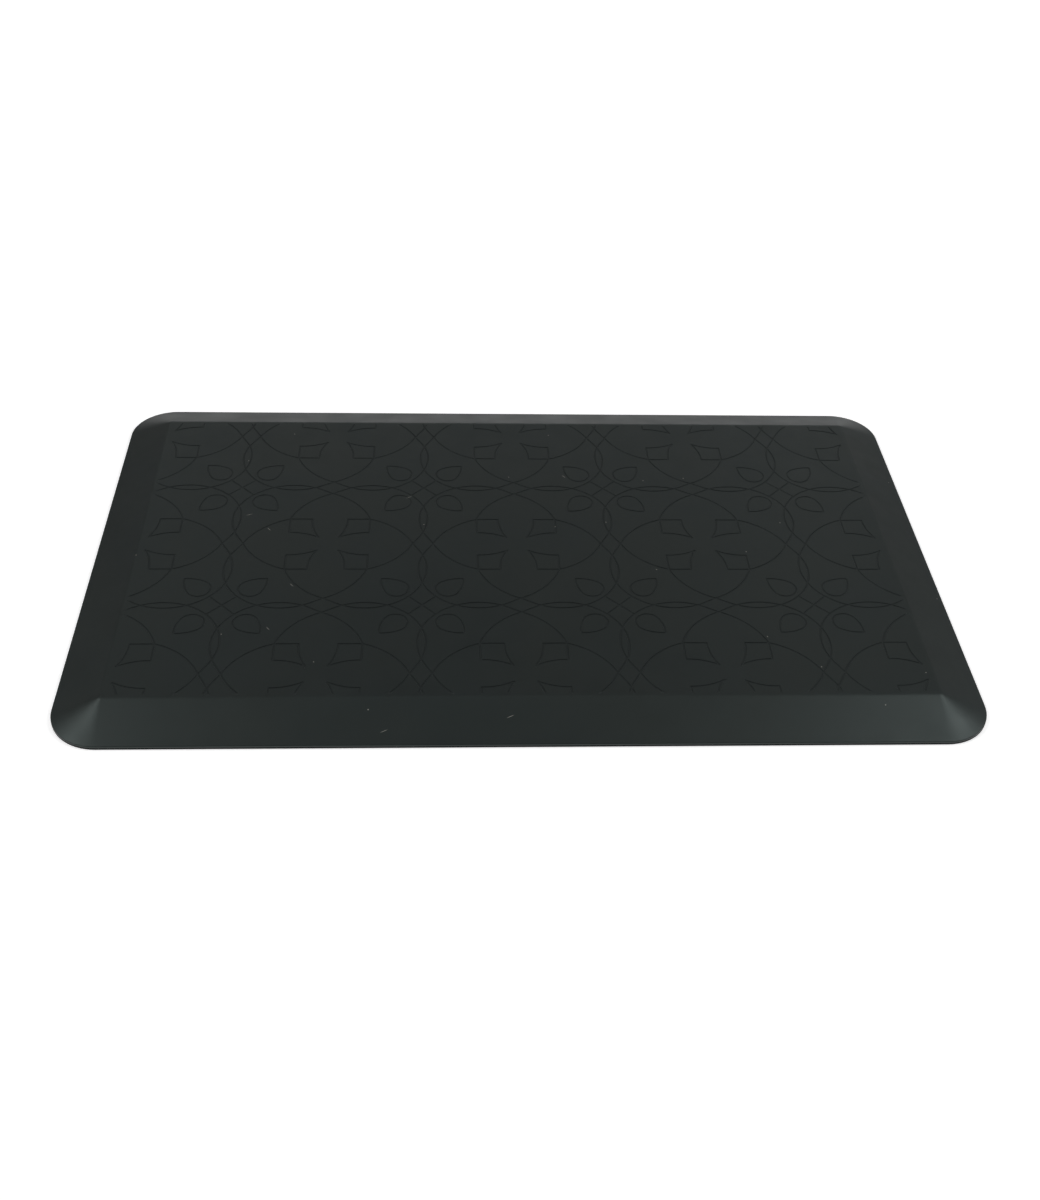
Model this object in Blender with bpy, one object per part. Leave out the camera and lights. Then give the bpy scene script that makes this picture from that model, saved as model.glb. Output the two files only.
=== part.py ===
"""Anti fatigue mat for standing at a desk: a moulded skin with ramped borders over a foam core,
closed underneath by a thin grip sheet that the skin is bonded to all round its rim.

Run it with: blender --background --python part.py

Frame: metres, +Z up. The origin is the middle of the underside, +X runs along the long side,
and the mat's front, the edge that the user steps over, is at -Y.

Every layer is a stack of level rings. A ring is the mat's rounded outline, drawn in by an inset,
so that all rings are parallel curves and each corner ramp is part of one cone.
"""

import math

import bmesh
import bpy

# Outside shape
WIDTH = 0.8128
DEPTH = 0.508
HEIGHT = 0.01905
CORNER_RADIUS = 0.0445
RAMP_WIDTH = 0.043
RIM_HEIGHT = 0.0036

# Layers
BASE_THICKNESS = 0.0015
SKIN_THICKNESS = 0.0016
BOND_GAP = 0.0003
FLANGE_WIDTH = 0.008

# Softened edges
RIM_EDGE_RADIUS = 0.0008
PANEL_EDGE_RADIUS = 0.012
BASE_EDGE_CHAMFER = 0.0003

CORNER_STEPS = 12
EDGE_STEPS = 4
SMOOTH_ANGLE = math.radians(25)
SMALLEST_RADIUS = 0.0005

# Worked out from the sizes above
RAMP_SLOPE = math.atan2(HEIGHT - RIM_HEIGHT, RAMP_WIDTH)
SEAT_HEIGHT = BASE_THICKNESS + BOND_GAP


def clear_scene():
    for item in list(bpy.data.objects):
        bpy.data.objects.remove(item)


def make_material(name, colour, roughness):
    """A non-metallic material in one colour."""
    material = bpy.data.materials.new(name)
    material.use_nodes = True
    shader = material.node_tree.nodes["Principled BSDF"]
    shader.inputs["Base Color"].default_value = (*colour, 1.0)
    shader.inputs["Roughness"].default_value = roughness
    shader.inputs["Metallic"].default_value = 0.0
    return material


def ring(inset, height):
    """The mat's outline drawn in by inset, as points at one height, anticlockwise from above."""
    radius = max(CORNER_RADIUS - inset, SMALLEST_RADIUS)
    centre_x = WIDTH / 2 - inset - radius
    centre_y = DEPTH / 2 - inset - radius
    points = []
    for quarter, (side_x, side_y) in enumerate(((1, 1), (-1, 1), (-1, -1), (1, -1))):
        for step in range(CORNER_STEPS + 1):
            angle = math.pi / 2 * (quarter + step / CORNER_STEPS)
            x = side_x * centre_x + radius * math.cos(angle)
            y = side_y * centre_y + radius * math.sin(angle)
            points.append((x, y, height))
    return points


def ring_stack(name, profile, material):
    """A closed solid through the rings of profile, a list of (inset, height), with a flat face on
    the first ring and on the last. The profile starts at the face that looks up, and runs down
    the outside."""
    mesh = bmesh.new()
    rings = [[mesh.verts.new(point) for point in ring(*level)] for level in profile]
    mesh.faces.new(rings[0])
    mesh.faces.new(reversed(rings[-1]))
    for upper, lower in zip(rings, rings[1:]):
        count = len(upper)
        for i in range(count):
            after = (i + 1) % count
            mesh.faces.new((upper[i], lower[i], lower[after], upper[after]))
    bmesh.ops.recalc_face_normals(mesh, faces=mesh.faces)
    data = bpy.data.meshes.new(name)
    mesh.to_mesh(data)
    mesh.free()
    data.materials.append(material)
    data.shade_smooth()
    data.set_sharp_from_angle(angle=SMOOTH_ANGLE)
    layer = bpy.data.objects.new(name, data)
    bpy.context.scene.collection.objects.link(layer)
    return layer


def panel_edge(drop):
    """(inset, height) pairs that round the edge between the panel and the ramp, on a surface that
    lies drop below the outside one. The radius shrinks with the depth, so the arcs share a centre."""
    radius = PANEL_EDGE_RADIUS - drop
    centre_inset = RAMP_WIDTH + PANEL_EDGE_RADIUS * math.tan(RAMP_SLOPE / 2)
    centre_height = HEIGHT - PANEL_EDGE_RADIUS
    levels = []
    for step in range(EDGE_STEPS + 1):
        angle = RAMP_SLOPE * step / EDGE_STEPS
        inset = centre_inset - radius * math.sin(angle)
        levels.append((inset, centre_height + radius * math.cos(angle)))
    return levels


def ramp_height(inset, drop):
    """Height of the ramp at an inset, on the surface that lies drop below the outside one."""
    return RIM_HEIGHT + inset * math.tan(RAMP_SLOPE) - drop / math.cos(RAMP_SLOPE)


def rim_edge():
    """(inset, height) pairs that round the edge between the ramp and the upright rim."""
    turn = math.pi / 2 - RAMP_SLOPE
    centre_height = RIM_HEIGHT - RIM_EDGE_RADIUS * math.tan(turn / 2)
    levels = []
    for step in range(EDGE_STEPS + 1):
        angle = RAMP_SLOPE + turn * step / EDGE_STEPS
        inset = RIM_EDGE_RADIUS * (1 - math.sin(angle))
        levels.append((inset, centre_height + RIM_EDGE_RADIUS * math.cos(angle)))
    return levels


def make_top_skin(material):
    """The moulded cover: panel, ramps and rim, hollow underneath for the core, with a flat flange
    round the rim that is bonded to the base sheet."""
    outside = panel_edge(0) + rim_edge() + [(0, SEAT_HEIGHT)]
    inner_wall = [(FLANGE_WIDTH, SEAT_HEIGHT), (FLANGE_WIDTH, ramp_height(FLANGE_WIDTH, SKIN_THICKNESS))]
    ceiling = list(reversed(panel_edge(SKIN_THICKNESS)))
    return ring_stack("top_skin", outside + inner_wall + ceiling, material)


def make_foam_core(material):
    """The resilient slab that fills the skin, clear of it by the bond gap all round."""
    edge = FLANGE_WIDTH + BOND_GAP
    drop = SKIN_THICKNESS + BOND_GAP
    profile = panel_edge(drop) + [(edge, ramp_height(edge, drop)), (edge, SEAT_HEIGHT)]
    return ring_stack("foam_core", profile, material)


def make_base_sheet(material):
    """The thin grip sheet that lies on the floor, as wide as the skin's rim."""
    chamfer = BASE_EDGE_CHAMFER
    profile = [(0, BASE_THICKNESS), (0, chamfer), (chamfer, 0)]
    return ring_stack("base_sheet", profile, material)


def main():
    clear_scene()
    skin_material = make_material("black_polyurethane_skin", (0.018, 0.020, 0.020), 0.45)
    foam_material = make_material("grey_polyurethane_foam", (0.06, 0.06, 0.06), 0.95)
    base_material = make_material("black_grip_sheet", (0.012, 0.012, 0.012), 0.8)
    make_top_skin(skin_material)
    make_foam_core(foam_material)
    make_base_sheet(base_material)


main()
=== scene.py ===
"""The finished look of an anti fatigue mat: its embossed skin, foam core and grip sheet, with a
studio floor, lights and camera. Lengths are in metres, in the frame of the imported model, whose
origin is the middle of the mat's underside."""

import math

import bpy
from mathutils import Matrix, Vector, kdtree, noise
from mathutils.geometry import delaunay_2d_cdt


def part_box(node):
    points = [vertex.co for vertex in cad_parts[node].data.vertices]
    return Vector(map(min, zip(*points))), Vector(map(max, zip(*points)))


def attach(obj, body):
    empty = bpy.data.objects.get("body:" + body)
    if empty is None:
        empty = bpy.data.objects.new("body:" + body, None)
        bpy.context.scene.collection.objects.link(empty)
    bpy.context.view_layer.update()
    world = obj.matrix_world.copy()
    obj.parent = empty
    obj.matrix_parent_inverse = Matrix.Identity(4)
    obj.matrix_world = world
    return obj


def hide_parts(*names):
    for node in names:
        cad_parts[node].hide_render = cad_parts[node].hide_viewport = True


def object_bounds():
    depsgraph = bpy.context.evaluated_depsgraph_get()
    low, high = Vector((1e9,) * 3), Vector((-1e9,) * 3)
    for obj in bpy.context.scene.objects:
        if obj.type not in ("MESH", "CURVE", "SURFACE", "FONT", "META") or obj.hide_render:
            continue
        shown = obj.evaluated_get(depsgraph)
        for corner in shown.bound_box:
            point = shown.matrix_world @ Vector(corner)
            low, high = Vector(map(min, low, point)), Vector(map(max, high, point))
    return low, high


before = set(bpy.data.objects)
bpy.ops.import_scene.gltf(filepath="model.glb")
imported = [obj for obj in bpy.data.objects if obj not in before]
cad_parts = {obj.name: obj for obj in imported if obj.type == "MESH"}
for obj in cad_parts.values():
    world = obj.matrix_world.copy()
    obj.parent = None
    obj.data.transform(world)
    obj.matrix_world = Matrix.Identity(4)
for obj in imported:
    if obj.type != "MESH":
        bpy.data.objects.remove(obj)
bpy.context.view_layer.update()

# The mat's outline and section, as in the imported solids
SKIN_LOW, SKIN_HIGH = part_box("top_skin")
FOAM_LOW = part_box("foam_core")[0]
BASE_LOW, BASE_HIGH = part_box("base_sheet")
HALF_WIDTH, HALF_DEPTH, HEIGHT = SKIN_HIGH
SEAT_HEIGHT = SKIN_LOW[2]
CORNER_RADIUS = 0.0445
RAMP_WIDTH = 0.043
RIM_HEIGHT = 0.0036
SKIN_THICKNESS = 0.0016
BOND_GAP = 0.0003
FLANGE_WIDTH = 0.008
RIM_EDGE_RADIUS = 0.0008
PANEL_EDGE_RADIUS = 0.012
RAMP_SLOPE = math.atan2(HEIGHT - RIM_HEIGHT, RAMP_WIDTH)

# Where the round between ramp and panel starts and ends
PANEL_INSET = RAMP_WIDTH + PANEL_EDGE_RADIUS * math.tan(RAMP_SLOPE / 2)
RAMP_END = PANEL_INSET - PANEL_EDGE_RADIUS * math.sin(RAMP_SLOPE)

# Mesh spacing: along the outline, across the ramp and its rounds, and of the grid inside them. Points
# nearer than SAME_PLACE would count as one.
ALONG_STEP = 0.006
CORNER_STEPS = 16
RAMP_RINGS = 7
ROUND_STEPS = 4
FILL_STEP = 0.007
FILL_MARGIN = FILL_STEP / 3
SAME_PLACE = 1e-9

# The tracery: one rosette, repeated on a square grid. Its lines are given from the rosette's middle.
PITCH = 0.183
HALF_PITCH = PITCH / 2
JUNCTION = 0.0525
HOOP_RADIUS = 0.0564
HOOP_END = math.radians(300)
LOBE_BULGE = 0.0063
BUD_MIDDLE = 0.024
BUD_RADIUS = 0.0113
BUD_SHOULDER = math.radians(120)
BUD_TIP = 0.0383
LEAF_TIP = 0.0817
LEAF_SHOULDER = 0.0741
LEAF_BULGE = 0.0022
DIAGONAL = math.radians(225)

# The steep-sided groove that each line is pressed in as. Its floor is a share of its half width, and
# it fades out over a short stretch at the panel's edge.
GROOVE_HALF_WIDTH = 0.00085
GROOVE_DEPTH = 0.00038
GROOVE_FLOOR = 0.75
GROOVE_FADE = 0.0025

# The groove's mesh. Lines are worked out at FINE_STEP. The rows, at shares of the half width, take
# one point in FINE_PER_ROW_STEP, and every point where another line is within CROSSING_REACH.
GROOVE_ROWS = (0, GROOVE_FLOOR, 1)
FINE_STEP = 0.0004
FINE_PER_ROW_STEP = 5
CROSSING_REACH = 0.0019
LEAST_GAP = 0.00017
GROUND_CLEARANCE = GROOVE_HALF_WIDTH * 2.2

# The foam's surface
FOAM_SHRINKAGE = 0.0003
RIPPLE_SIZE = 0.02

# The grip sheet's square pads, which stand proud between shallow channels
BASE_CHAMFER = 0.0003
PAD_PITCH = 0.016
PAD_MARGIN = 0.018
CHANNEL_WIDTH = 0.003
CHANNEL_WALL = 0.0006
CHANNEL_DEPTH = 0.0005

# Colours, all linear
SKIN_COLOUR = (0.0098, 0.0122, 0.0122)
SKIN_TINT = (0.0110, 0.0128, 0.0118)
SKIN_GLOSS_TINT = (0.84, 1.0, 0.97)
# Painted shade in the grooves: the skin's colour darkens towards this as a groove deepens
GROOVE_PAINTED_SHADE = (0.0070, 0.0085, 0.0085)
DUST_COLOUR = (0.32, 0.31, 0.28)
FOAM_COLOUR = (0.060, 0.062, 0.064)
# Painted shade: the share of the foam's colour left at the bottom of each cell pit
FOAM_PIT_PAINTED_SHADE = 0.4
BASE_COLOUR = (0.0055, 0.0058, 0.0060)
BASE_WORN_SHADE = 1.8
FLOOR_COLOUR = (0.9, 0.9, 0.9)

# Roughness, as one value or as the ends of a range. Dust adds DULL_ROUGHNESS to the skin's, and a
# groove adds a share of it.
SKIN_ROUGHNESS = (0.42, 0.49)
DULL_ROUGHNESS = 0.3
GROOVE_DULLNESS = 0.25
FOAM_ROUGHNESS = 0.95
BASE_ROUGHNESS = (0.92, 0.78)
FLOOR_ROUGHNESS = 0.9

# Texture: how far across a blotch, pebble or cell is, how deep the bumps are, and the values of the
# noise, or of the distance from a cell's middle, over which an effect goes from one end to the other
MOTTLE_SIZE = 0.09
MOTTLE_RANGE = (0.35, 0.65)
HANDLING_SIZE = 0.03
HANDLING_RANGE = (0.3, 0.7)
PEBBLE_SIZE = 0.0009
PEBBLE_DEPTH = 0.00003
WAVE_SIZE = 0.012
WAVE_DEPTH = 0.00004
FOAM_CELL_SIZE = 0.0012
FOAM_CELL_DEPTH = 0.0003
FOAM_PIT_RANGE = (0.15, 0.5)
WEAR_SIZE = 0.05
WEAR_RANGE = (0.35, 0.7)
GRAIN_SIZE = 0.0007
GRAIN_DEPTH = 0.00008

# Dust and lint, one speck at most in a cell of the spacing: (half width as a share of the spacing,
# length as a multiple of the width, turn from the X axis, chance that a cell has one)
SPECK_SPACING = 0.045
DUST = (0.014, 1, 0, 0.14)
LINT = ((0.0055, 16, 0.4, 0.35), (0.0055, 13, -0.9, 0.3))


# --- Shape of the skin ---------------------------------------------------------------------------

def core_corner():
    """Half sides of the rectangle that the outline runs round at CORNER_RADIUS."""
    return HALF_WIDTH - CORNER_RADIUS, HALF_DEPTH - CORNER_RADIUS


def outline_rays():
    """(start, direction) pairs in order round the outline. Each start lies on the core rectangle, and
    start + CORNER_RADIUS * direction on the outline."""
    core_x, core_y = core_corner()
    rays = []
    for quarter, (side_x, side_y) in enumerate(((1, 1), (-1, 1), (-1, -1), (1, -1))):
        corner = Vector((side_x * core_x, side_y * core_y))
        first = math.pi / 2 * quarter
        for step in range(CORNER_STEPS + 1):
            angle = first + math.pi / 2 * step / CORNER_STEPS
            rays.append((corner, Vector((math.cos(angle), math.sin(angle)))))
        run = 2 * (core_x if quarter % 2 == 0 else core_y)
        last = rays[-1][1]
        along = Vector((-last.y, last.x))
        count = round(run / ALONG_STEP)
        for step in range(1, count):
            rays.append((corner + along * (run * step / count), last))
    return rays


RAYS = outline_rays()


def ring(inset):
    """The outline drawn in by inset, as points in the plane."""
    return [start + direction * (CORNER_RADIUS - inset) for start, direction in RAYS]


def inset_of(point):
    """How far inside the outline a point of the plane lies."""
    core_x, core_y = core_corner()
    past_x = abs(point.x) - core_x
    past_y = abs(point.y) - core_y
    outside = math.hypot(max(past_x, 0), max(past_y, 0))
    return CORNER_RADIUS - outside - min(max(past_x, past_y), 0)


def section_height(inset, drop=0.0):
    """Height of the rim, ramp and panel at an inset, on the surface drop below the outside one."""
    radius = PANEL_EDGE_RADIUS - drop
    if inset >= PANEL_INSET:
        return HEIGHT - drop
    reach = PANEL_INSET - inset
    if reach < radius * math.sin(RAMP_SLOPE):
        return HEIGHT - PANEL_EDGE_RADIUS + math.sqrt(radius**2 - reach**2)
    if not drop and inset < RIM_EDGE_RADIUS * (1 - math.sin(RAMP_SLOPE)):
        lean = min(1 - inset / RIM_EDGE_RADIUS, 1)
        middle = RIM_HEIGHT - RIM_EDGE_RADIUS * math.tan((math.pi / 2 - RAMP_SLOPE) / 2)
        return middle + RIM_EDGE_RADIUS * math.sqrt(1 - lean**2)
    return RIM_HEIGHT + inset * math.tan(RAMP_SLOPE) - drop / math.cos(RAMP_SLOPE)


def section_insets():
    """Insets of the rings that carry the rim's round, the ramp and the panel's round."""
    turn = math.pi / 2 - RAMP_SLOPE
    rim = [
        RIM_EDGE_RADIUS * (1 - math.sin(math.pi / 2 - turn * step / ROUND_STEPS))
        for step in range(ROUND_STEPS + 1)
    ]
    ramp = [RAMP_END * step / RAMP_RINGS for step in range(1, RAMP_RINGS)]
    top = [
        PANEL_INSET - PANEL_EDGE_RADIUS * math.sin(RAMP_SLOPE * (1 - step / ROUND_STEPS))
        for step in range(ROUND_STEPS + 1)
    ]
    return rim + ramp + top


# --- Tracery -------------------------------------------------------------------------------------

def arc(middle, radius, start, end):
    """Points FINE_STEP apart on an arc, ends included."""
    count = max(1, round(abs(end - start) * radius / FINE_STEP))
    angles = [start + (end - start) * step / count for step in range(count + 1)]
    return [middle + radius * Vector((math.cos(a), math.sin(a))) for a in angles]


def line(start, end):
    """Points FINE_STEP apart on a straight line, ends included."""
    count = max(1, round((end - start).length / FINE_STEP))
    return [start.lerp(end, step / count) for step in range(count + 1)]


def angle_to(middle, point):
    return math.atan2(point.y - middle.y, point.x - middle.x)


def bowed(start, end, bulge):
    """The arc from start to end that stands bulge to the left of the straight line."""
    chord = end - start
    left = Vector((-chord.y, chord.x)).normalized()
    radius = (chord.length**2 / 4 + bulge**2) / (2 * bulge)
    middle = (start + end) / 2 + left * (bulge - radius)
    first = angle_to(middle, start)
    sweep = (angle_to(middle, end) - first + math.pi) % (2 * math.pi) - math.pi
    return arc(middle, abs(radius), first, first + sweep)


def rosette_eighth():
    """The lines in one eighth of a rosette, which its mirror images complete."""
    junction = Vector((JUNCTION, JUNCTION))
    hoop = arc(junction, HOOP_RADIUS, DIAGONAL, HOOP_END)
    slope = math.tan(HOOP_END + math.pi / 2)
    crossing = Vector((HALF_PITCH, hoop[-1].y + slope * (HALF_PITCH - hoop[-1].x)))
    tail = line(hoop[-1], crossing)
    spoke = line(Vector((0, 0)), hoop[0])
    lobe = bowed(crossing, junction, LOBE_BULGE)
    shoulder = Vector((LEAF_SHOULDER, JUNCTION))
    leaf_side = bowed(Vector((LEAF_TIP, LEAF_TIP)), shoulder, -LEAF_BULGE)
    leaf_end = line(shoulder, junction)
    return [hoop, tail, spoke, lobe, leaf_side, leaf_end] + bud_half()


def bud_half():
    """Half of the bud on the diagonal: a round end, and a flatter side that runs to the tip."""
    middle = Vector((BUD_MIDDLE, BUD_MIDDLE))
    tip = Vector((BUD_TIP, BUD_TIP))
    round_end = arc(middle, BUD_RADIUS, BUD_SHOULDER, DIAGONAL)
    start = round_end[0]
    inward = (middle - start).normalized()
    reach = tip - start
    side_radius = reach.length_squared / (2 * reach.dot(inward))
    side_middle = start + inward * side_radius
    side = arc(side_middle, side_radius, BUD_SHOULDER, angle_to(side_middle, tip))
    return [round_end, side]


def tracery():
    """Every line of the tracery that reaches the panel, as lists of points in the plane."""
    eighth = rosette_eighth()
    offsets = [HALF_PITCH + PITCH * step for step in (-2, -1, 0, 1)]
    mirrors = [(x, y, swap) for x in (1, -1) for y in (1, -1) for swap in (False, True)]
    lines = []
    for middle in (Vector((x, y)) for x in offsets for y in offsets):
        for sign_x, sign_y, swap in mirrors:
            for points in eighth:
                turned = [(p.y, p.x) if swap else (p.x, p.y) for p in points]
                lines.append([middle + Vector((sign_x * x, sign_y * y)) for x, y in turned])
    return lines


def mesh_stations(lines):
    """For each line, the indices of the points that its mesh rows pass: one in FINE_PER_ROW_STEP, and
    every one where another line is near, so that the walls meet cleanly where grooves cross."""
    tree = kdtree.KDTree(sum(len(points) for points in lines))
    for number, points in enumerate(lines):
        for point in points:
            tree.insert(point.to_3d(), number)
    tree.balance()
    stations = []
    for number, points in enumerate(lines):
        last = len(points) - 1
        picked = []
        for i, point in enumerate(points):
            regular = i % FINE_PER_ROW_STEP == 0 or i == last
            near = tree.find_range(point.to_3d(), CROSSING_REACH)
            if regular or any(other != number for _, other, _ in near):
                picked.append(i)
        stations.append(picked)
    return stations


def groove_rows(lines):
    """Points on and beside the lines, the middle rows first, for a mesh that follows the grooves."""
    stations = mesh_stations(lines)
    rows = []
    for row in GROOVE_ROWS:
        for points, picked in zip(lines, stations):
            for i in picked:
                ahead = points[min(i + 1, len(points) - 1)] - points[max(i - 1, 0)]
                aside = Vector((-ahead.y, ahead.x)).normalized() * (row * GROOVE_HALF_WIDTH)
                rows.append(points[i] + aside)
                if row:
                    rows.append(points[i] - aside)
    return rows


def fill_grid():
    """A staggered grid over the panel, for the ground between the grooves."""
    rows = int(2 * HALF_DEPTH / FILL_STEP)
    columns = int(2 * HALF_WIDTH / FILL_STEP)
    points = []
    for j in range(rows):
        for i in range(columns):
            x = (i + 0.5 * (j % 2)) * FILL_STEP - HALF_WIDTH
            points.append(Vector((x, j * FILL_STEP - HALF_DEPTH)))
    return points


class Sieve:
    """Keeps points that are at least a gap from all those kept before."""

    def __init__(self, gap):
        self.gap = gap
        self.cells = {}
        self.kept = []

    def add(self, point):
        column, row = math.floor(point.x / self.gap), math.floor(point.y / self.gap)
        for i in (column - 1, column, column + 1):
            for j in (row - 1, row, row + 1):
                near = self.cells.get((i, j))
                if near and any((point - other).length < self.gap for other in near):
                    return
        self.cells.setdefault((column, row), []).append(point)
        self.kept.append(point)


def panel_points(lines, tree):
    """The points of the panel's mesh inside its rounded edge."""
    sieve = Sieve(LEAST_GAP)
    for point in groove_rows(lines):
        if inset_of(point) > PANEL_INSET + LEAST_GAP:
            sieve.add(point)
    ground = [
        p for p in fill_grid()
        if inset_of(p) > PANEL_INSET + FILL_MARGIN and tree.find(p.to_3d())[2] > GROUND_CLEARANCE
    ]
    return sieve.kept + ground


def groove_tree(lines):
    """A lookup of the distance to the nearest line."""
    points = [p for line_points in lines for p in line_points if inset_of(p) > RAMP_END]
    tree = kdtree.KDTree(len(points))
    for i, point in enumerate(points):
        tree.insert(point.to_3d(), i)
    tree.balance()
    return tree


def skin_height(point, tree):
    """Height of the skin's upper surface, with the tracery pressed in."""
    return section_height(inset_of(point)) - GROOVE_DEPTH * groove_share(point, tree)


def groove_share(point, tree):
    """How deep in a groove a point lies: 1 along its bottom, 0 beside it."""
    inset = inset_of(point)
    if inset <= PANEL_INSET:
        return 0
    across = tree.find(point.to_3d())[2] / GROOVE_HALF_WIDTH
    share = min(max((1 - across) / (1 - GROOVE_FLOOR), 0), 1)
    return share * min((inset - PANEL_INSET) / GROOVE_FADE, 1)


# --- Mesh building -------------------------------------------------------------------------------

class Shell:
    """A closed mesh put together from height fields, rings and flat caps."""

    def __init__(self):
        self.points = []
        self.faces = []

    def field(self, points, height_of, upward=True):
        """A surface through points of the plane, the first of which are the outermost ring."""
        base = len(self.points)
        made = delaunay_2d_cdt(points, [], [], 0, SAME_PLACE, False)
        if len(made[0]) != len(points):
            raise ValueError("two points of a field are in one place")
        self.points += [(p.x, p.y, height_of(p)) for p in made[0]]
        for face in made[2]:
            corners = [base + i for i in face]
            self.faces.append(corners if upward else corners[::-1])
        return list(range(base, base + len(RAYS)))

    def ring(self, inset, height):
        """The outline drawn in by inset, added at one height."""
        base = len(self.points)
        self.points += [(p.x, p.y, height) for p in ring(inset)]
        return list(range(base, base + len(RAYS)))

    def join(self, upper, lower):
        """Faces between two rings, looking out where upper is above lower."""
        count = len(upper)
        for i in range(count):
            after = (i + 1) % count
            self.faces.append((upper[i], lower[i], lower[after], upper[after]))

    def cap(self, ring_points, upward):
        self.faces.append(ring_points if upward else ring_points[::-1])

    def piece(self, name, material, smooth_angle=math.radians(40)):
        """The finished object, shaded smooth apart from edges sharper than smooth_angle."""
        mesh = bpy.data.meshes.new(name)
        mesh.from_pydata(self.points, [], self.faces)
        mesh.validate()
        mesh.materials.append(material)
        mesh.shade_smooth()
        mesh.set_sharp_from_angle(angle=smooth_angle)
        piece = bpy.data.objects.new(name, mesh)
        bpy.context.scene.collection.objects.link(piece)
        return piece


# --- Materials -----------------------------------------------------------------------------------

class Finish:
    """A material made of nodes round one Principled shader."""

    def __init__(self, name, colour, roughness, specular=0.5):
        self.material = bpy.data.materials.new(name)
        self.material.use_nodes = True
        self.tree = self.material.node_tree
        self.shader = self.tree.nodes["Principled BSDF"]
        self.set(self.shader, {
            "Base Color": (*colour, 1), "Roughness": roughness, "Specular IOR Level": specular,
        })
        self.place = self.tree.nodes.new("ShaderNodeTexCoord").outputs["Object"]

    def set(self, node, values):
        """Sets a node's inputs, each to a number or to another node's output."""
        for name, value in values.items():
            if isinstance(value, bpy.types.NodeSocket):
                self.tree.links.new(value, node.inputs[name])
            else:
                node.inputs[name].default_value = value

    def add(self, kind, values, **options):
        node = self.tree.nodes.new(kind)
        for name, value in options.items():
            setattr(node, name, value)
        self.set(node, values)
        return node

    def noise(self, size, detail=2.0):
        """Soft noise from 0 to 1 whose blotches are about size across."""
        values = {"Vector": self.place, "Scale": 1 / size, "Detail": detail}
        return self.add("ShaderNodeTexNoise", values).outputs["Fac"]

    def spread(self, value, low, high, low_out, high_out):
        """value mapped from the range low..high to low_out..high_out, and held there outside it."""
        values = {
            "Value": value, "From Min": low, "From Max": high, "To Min": low_out, "To Max": high_out,
        }
        return self.add("ShaderNodeMapRange", values).outputs["Result"]

    def math(self, operation, first, second):
        node = self.add("ShaderNodeMath", {}, operation=operation)
        for socket, value in zip(node.inputs, (first, second)):
            if isinstance(value, bpy.types.NodeSocket):
                self.tree.links.new(value, socket)
            else:
                socket.default_value = value
        return node.outputs["Value"]

    def blend(self, share, colour, other):
        """colour where share is 0 and other where it is 1. Each is three numbers or an output."""
        mix = self.tree.nodes.new("ShaderNodeMix")
        mix.data_type = "RGBA"
        values = {"Factor": share, "A": colour, "B": other}
        for name, value in values.items():
            socket = next(s for s in mix.inputs if s.name == name and s.enabled)
            if isinstance(value, bpy.types.NodeSocket):
                self.tree.links.new(value, socket)
            else:
                socket.default_value = value if name == "Factor" else (*value, 1)
        return next(s for s in mix.outputs if s.enabled)

    def bump(self, height, depth, strength=1.0, under=None):
        values = {"Height": height, "Distance": depth, "Strength": strength}
        if under:
            values["Normal"] = under
        return self.add("ShaderNodeBump", values).outputs["Normal"]


def skin_material():
    """Satin moulded polyurethane: near black, faintly mottled, with a fine pebble grain, grooves that
    are rougher and darkened with painted shade, a little dust and a few hairs of lint."""
    finish = Finish("satin_polyurethane", SKIN_COLOUR, SKIN_ROUGHNESS[0])
    finish.set(finish.shader, {"Specular Tint": (*SKIN_GLOSS_TINT, 1)})
    mottle = finish.spread(finish.noise(MOTTLE_SIZE, 3), *MOTTLE_RANGE, 0, 1)
    colour = finish.blend(mottle, SKIN_COLOUR, SKIN_TINT)
    groove = finish.add("ShaderNodeAttribute", {}, attribute_name="groove").outputs["Fac"]
    # Painted shade: the grooves are darkened by how deep they are pressed in
    colour = finish.blend(groove, colour, GROOVE_PAINTED_SHADE)
    dust = specks(finish, *DUST)
    for lint in LINT:
        dust = finish.math("MAXIMUM", dust, specks(finish, *lint))
    colour = finish.blend(dust, colour, DUST_COLOUR)
    handling = finish.spread(finish.noise(HANDLING_SIZE, 4), *HANDLING_RANGE, *SKIN_ROUGHNESS)
    dull = finish.math("MAXIMUM", finish.math("MULTIPLY", groove, GROOVE_DULLNESS), dust)
    roughness = finish.math("ADD", handling, finish.math("MULTIPLY", dull, DULL_ROUGHNESS))
    pebbles = finish.add(
        "ShaderNodeTexVoronoi", {"Vector": finish.place, "Scale": 1 / PEBBLE_SIZE, "Smoothness": 0.6},
        feature="SMOOTH_F1",
    ).outputs["Distance"]
    grain = finish.bump(pebbles, PEBBLE_DEPTH, strength=0.5)
    normal = finish.bump(finish.noise(WAVE_SIZE), WAVE_DEPTH, strength=0.4, under=grain)
    finish.set(finish.shader, {"Base Color": colour, "Roughness": roughness, "Normal": normal})
    return finish.material


def specks(finish, size, length, turn, chance):
    """1 on a few specks of one shape, and 0 elsewhere, with the measures that DUST and LINT give."""
    place = finish.add(
        "ShaderNodeMapping", {"Vector": finish.place, "Rotation": (0, 0, turn), "Scale": (length, 1, 1)},
        vector_type="TEXTURE",
    ).outputs["Vector"]
    cells = finish.add(
        "ShaderNodeTexVoronoi", {"Vector": place, "Scale": 1 / SPECK_SPACING},
        feature="F1", voronoi_dimensions="2D",
    )
    near = finish.spread(cells.outputs["Distance"], size * 0.5, size, 1, 0)
    lottery = finish.add("ShaderNodeSeparateColor", {"Color": cells.outputs["Color"]}).outputs["Red"]
    chosen = finish.math("GREATER_THAN", lottery, 1 - chance)
    return finish.math("MULTIPLY", near, chosen)


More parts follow.
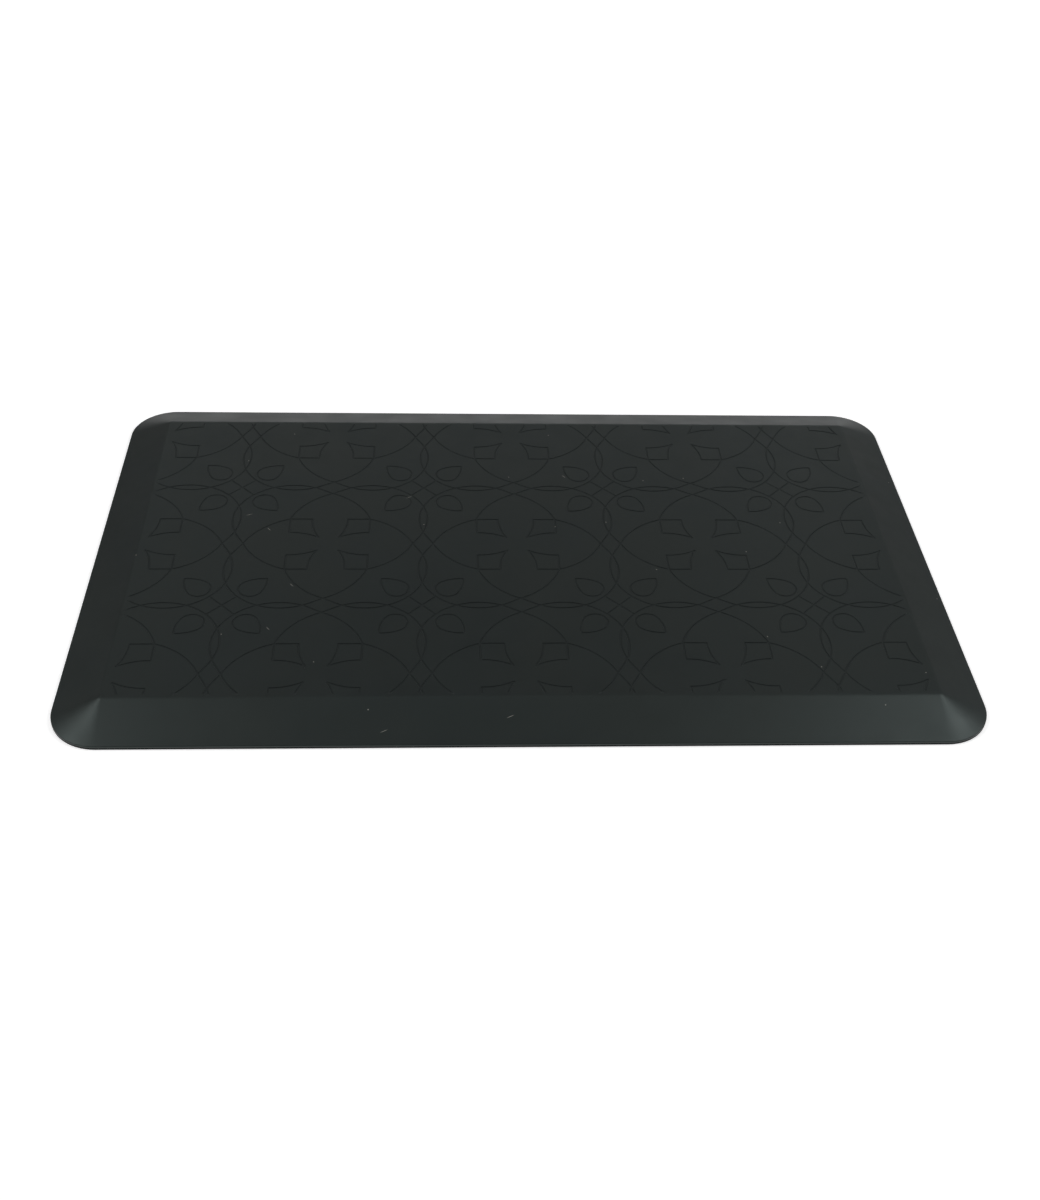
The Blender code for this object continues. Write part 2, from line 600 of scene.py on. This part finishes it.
def foam_material():
    """Dark grey foam with open cells, whose pits are darkened with painted shade."""
    finish = Finish("polyurethane_foam", FOAM_COLOUR, FOAM_ROUGHNESS, specular=0.2)
    cells = finish.add(
        "ShaderNodeTexVoronoi", {"Vector": finish.place, "Scale": 1 / FOAM_CELL_SIZE}, feature="F1",
    ).outputs["Distance"]
    pits = finish.spread(cells, *FOAM_PIT_RANGE, 1, 0)
    # Painted shade: the colour darkens into each cell's pit, where the bump sinks the surface
    colour = finish.blend(pits, FOAM_COLOUR, [FOAM_PIT_PAINTED_SHADE * c for c in FOAM_COLOUR])
    normal = finish.bump(finish.math("SUBTRACT", 1, pits), FOAM_CELL_DEPTH, strength=0.7)
    finish.set(finish.shader, {"Base Color": colour, "Normal": normal})
    return finish.material


def base_material():
    """Matt black grip sheet with a fine pebbled face and worn pads."""
    finish = Finish("grip_rubber", BASE_COLOUR, BASE_ROUGHNESS[0], specular=0.15)
    wear = finish.spread(finish.noise(WEAR_SIZE, 4), *WEAR_RANGE, 0, 1)
    colour = finish.blend(wear, BASE_COLOUR, [BASE_WORN_SHADE * c for c in BASE_COLOUR])
    roughness = finish.spread(wear, 0, 1, *BASE_ROUGHNESS)
    normal = finish.bump(finish.noise(GRAIN_SIZE, 3), GRAIN_DEPTH, strength=0.6)
    finish.set(finish.shader, {"Base Color": colour, "Roughness": roughness, "Normal": normal})
    return finish.material


# --- The three layers ----------------------------------------------------------------------------

def make_skin():
    """The moulded skin: the outer surface with its tracery, and the plain hollow that the foam fills."""
    lines = tracery()
    tree = groove_tree(lines)
    outer = [p for inset in section_insets() for p in ring(inset)]
    shell = Shell()
    top = shell.field(outer + panel_points(lines, tree), lambda p: skin_height(p, tree))
    rim = shell.ring(0, SEAT_HEIGHT)
    flange = shell.ring(FLANGE_WIDTH, SEAT_HEIGHT)
    shell.join(top, rim)
    shell.join(rim, flange)
    above = flange
    for inset in (FLANGE_WIDTH, RAMP_END, PANEL_INSET):
        level = shell.ring(inset, section_height(inset, SKIN_THICKNESS))
        shell.join(above, level)
        above = level
    shell.cap(above, upward=False)
    skin = shell.piece("moulded_skin", skin_material())
    mark_grooves(skin.data)
    skin.modifiers.new("ground_normals", "WEIGHTED_NORMAL").keep_sharp = True
    return skin


def mark_grooves(mesh):
    """Stores on each vertex of the panel how far it is pressed in, as a share of the groove's depth. The
    skin's material uses it to darken the grooves with painted shade and to roughen them.
    """
    attribute = mesh.attributes.new("groove", "FLOAT", "POINT")
    for vertex, value in zip(mesh.vertices, attribute.data):
        x, y, z = vertex.co
        on_panel = inset_of(Vector((x, y))) > PANEL_INSET and z > HEIGHT - GROOVE_DEPTH * 1.01
        value.value = (HEIGHT - z) / GROOVE_DEPTH if on_panel else 0


def make_foam():
    """The foam slab: the CAD solid's shape, with its top and its foot shrunk back unevenly."""
    edge = FLANGE_WIDTH + BOND_GAP
    drop = SKIN_THICKNESS + BOND_GAP
    insets = [edge + (RAMP_END - edge) * step / RAMP_RINGS for step in range(RAMP_RINGS)]
    insets += [RAMP_END, (RAMP_END + PANEL_INSET) / 2, PANEL_INSET]
    shell = Shell()
    outer = [p for inset in insets for p in ring(inset)]
    grid = [p for p in fill_grid() if inset_of(p) > PANEL_INSET + FILL_MARGIN]
    top = shell.field(outer + grid, lambda p: section_height(inset_of(p), drop) - ripple(p))
    inner = edge + FILL_STEP
    foot_rings = [p for inset in (edge, inner) for p in ring(inset)]
    grid = [p for p in fill_grid() if inset_of(p) > inner + 0.4 * FILL_STEP]
    foot = shell.field(foot_rings + grid, lambda p: FOAM_LOW[2] + ripple(p), upward=False)
    shell.join(top, foot)
    return shell.piece("foam_slab", foam_material())


def ripple(point):
    """How far the foam's surface has shrunk back from its mould, from nothing to FOAM_SHRINKAGE."""
    return FOAM_SHRINKAGE * (0.5 + 0.5 * noise.noise(Vector((point.x, point.y, 0)) / RIPPLE_SIZE))


def channel_edges(count):
    """Coordinates of both edges and both foot lines of the count + 1 channels beside count pads."""
    middles = [(k - count / 2) * PAD_PITCH for k in range(count + 1)]
    offsets = (CHANNEL_WIDTH / 2, CHANNEL_WIDTH / 2 - CHANNEL_WALL)
    return [middle + side * offset for middle in middles for side in (-1, 1) for offset in offsets]


def in_channel(value, count):
    """Whether a coordinate lies at the bottom of a channel."""
    middle = (round(value / PAD_PITCH + count / 2) - count / 2) * PAD_PITCH
    return abs(value - middle) < CHANNEL_WIDTH / 2 - CHANNEL_WALL / 2


def make_base():
    """The grip sheet: a chamfered rim, and an underside of square pads between channels."""
    columns = int(2 * (HALF_WIDTH - PAD_MARGIN) / PAD_PITCH)
    rows = int(2 * (HALF_DEPTH - PAD_MARGIN) / PAD_PITCH)
    half_x = (columns * PAD_PITCH + CHANNEL_WIDTH - CHANNEL_WALL) / 2
    half_y = (rows * PAD_PITCH + CHANNEL_WIDTH - CHANNEL_WALL) / 2
    floor_level, chamfer = BASE_LOW[2], BASE_CHAMFER

    def underside(point):
        inside = abs(point.x) < half_x and abs(point.y) < half_y
        sunk = inside and (in_channel(point.x, columns) or in_channel(point.y, rows))
        return floor_level + (CHANNEL_DEPTH if sunk else 0)

    pads = [Vector((x, y)) for x in channel_edges(columns) for y in channel_edges(rows)]
    shell = Shell()
    upper = shell.ring(0, BASE_HIGH[2])
    lower = shell.ring(0, floor_level + chamfer)
    shell.cap(upper, upward=True)
    shell.join(upper, lower)
    foot = shell.field(ring(chamfer) + pads, underside, upward=False)
    shell.join(lower, foot)
    return shell.piece("grip_base", base_material(), smooth_angle=math.radians(20))


# --- Studio --------------------------------------------------------------------------------------

CAMERA_PLACE = Vector((-0.0730, -1.0951, 0.8816))
CAMERA_PITCH = math.radians(40.396)
CAMERA_YAW = math.radians(4.085)
CAMERA_ROLL = math.radians(2.606)
CAMERA_LENS_MM = 42.99
CAMERA_REACH = 200
WORLD_STRENGTH = 0.05

# The floor, which glows a little, and more at a distance, where the softboxes light it less
FLOOR_HALF_SIDE = 40.0
FLOOR_DROP = 0.0002
FLOOR_GLOW = (0.52, 0.95)
FLOOR_GLOW_REACH = (0.6, 2.2)

# Softboxes: (name, azimuth, elevation, width, height, radiance)
SOFTBOX_DISTANCE = 2.0
SOFTBOXES = (
    ("left_softbox", -100, 45, 0.9, 0.9, 5.4),
    ("right_softbox", 98, 46, 0.9, 0.9, 5.4),
    ("overhead_softbox", 0, 80, 0.9, 0.9, 0.74),
    ("back_strip", -1, 23, 2.3, 0.7, 0.58),
    ("low_right_softbox", 33, 14, 0.6, 0.5, 0.50),
    ("right_fill_softbox", 66, 32, 0.6, 0.6, 0.45),
    ("high_left_softbox", -40, 45, 0.9, 0.9, 0.30),
    ("high_right_softbox", 40, 45, 0.9, 0.9, 0.28),
)


def place_camera():
    """A camera in front of the mat and a little to its left, looking down at it."""
    data = bpy.data.cameras.new("camera")
    data.lens = CAMERA_LENS_MM
    data.clip_end = CAMERA_REACH
    camera = bpy.data.objects.new("camera", data)
    bpy.context.scene.collection.objects.link(camera)
    aim = Matrix.Rotation(-CAMERA_YAW, 4, "Z") @ Matrix.Rotation(math.pi / 2 - CAMERA_PITCH, 4, "X")
    camera.matrix_world = Matrix.Translation(CAMERA_PLACE) @ aim @ Matrix.Rotation(CAMERA_ROLL, 4, "Z")
    bpy.context.scene.camera = camera


def make_floor():
    """A wide white floor just under the mat."""
    mesh = bpy.data.meshes.new("floor")
    side = FLOOR_HALF_SIDE
    corners = [(x * side, y * side, 0) for x, y in ((-1, -1), (1, -1), (1, 1), (-1, 1))]
    mesh.from_pydata(corners, [], [(0, 1, 2, 3)])
    finish = Finish("white_floor", FLOOR_COLOUR, FLOOR_ROUGHNESS)
    reach = finish.add("ShaderNodeVectorMath", {0: finish.place}, operation="LENGTH").outputs["Value"]
    glow = finish.spread(reach, *FLOOR_GLOW_REACH, *FLOOR_GLOW)
    finish.set(finish.shader, {"Emission Color": (1, 1, 1, 1), "Emission Strength": glow})
    mesh.materials.append(finish.material)
    floor = bpy.data.objects.new("floor", mesh)
    floor.location.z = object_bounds()[0][2] - FLOOR_DROP
    bpy.context.scene.collection.objects.link(floor)


def add_softbox(name, azimuth, elevation, width, height, radiance):
    """A panel of light that looks at the mat. Azimuth 0 is behind it, and 90 to its right."""
    azimuth, elevation = math.radians(azimuth), math.radians(elevation)
    outward = Vector((
        math.sin(azimuth) * math.cos(elevation), math.cos(azimuth) * math.cos(elevation),
        math.sin(elevation),
    ))
    data = bpy.data.lights.new(name, "AREA")
    data.shape = "RECTANGLE"
    data.size = width
    data.size_y = height
    data.energy = radiance * math.pi * width * height
    light = bpy.data.objects.new(name, data)
    light.location = outward * SOFTBOX_DISTANCE
    light.rotation_euler = outward.to_track_quat("Z", "Y").to_euler()
    bpy.context.scene.collection.objects.link(light)


def make_world():
    """A dim surround that is white where the camera looks past the floor."""
    world = bpy.data.worlds.new("studio")
    bpy.context.scene.world = world
    world.use_nodes = True
    tree = world.node_tree
    seen = tree.nodes.new("ShaderNodeLightPath").outputs["Is Camera Ray"]
    strength = tree.nodes.new("ShaderNodeMapRange")
    strength.inputs["To Min"].default_value = WORLD_STRENGTH
    tree.links.new(seen, strength.inputs["Value"])
    background = tree.nodes["Background"]
    background.inputs["Color"].default_value = (1, 1, 1, 1)
    tree.links.new(strength.outputs["Result"], background.inputs["Strength"])


def light_studio():
    make_world()
    for softbox in SOFTBOXES:
        add_softbox(*softbox)


# --- Everything together -------------------------------------------------------------------------

place_camera()
skin = make_skin()
foam = make_foam()
base = make_base()
for piece, node in ((skin, "top_skin"), (foam, "foam_core"), (base, "base_sheet")):
    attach(piece, "root")
    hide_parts(node)
make_floor()
light_studio()
bpy.context.scene.view_settings.view_transform = "Standard"
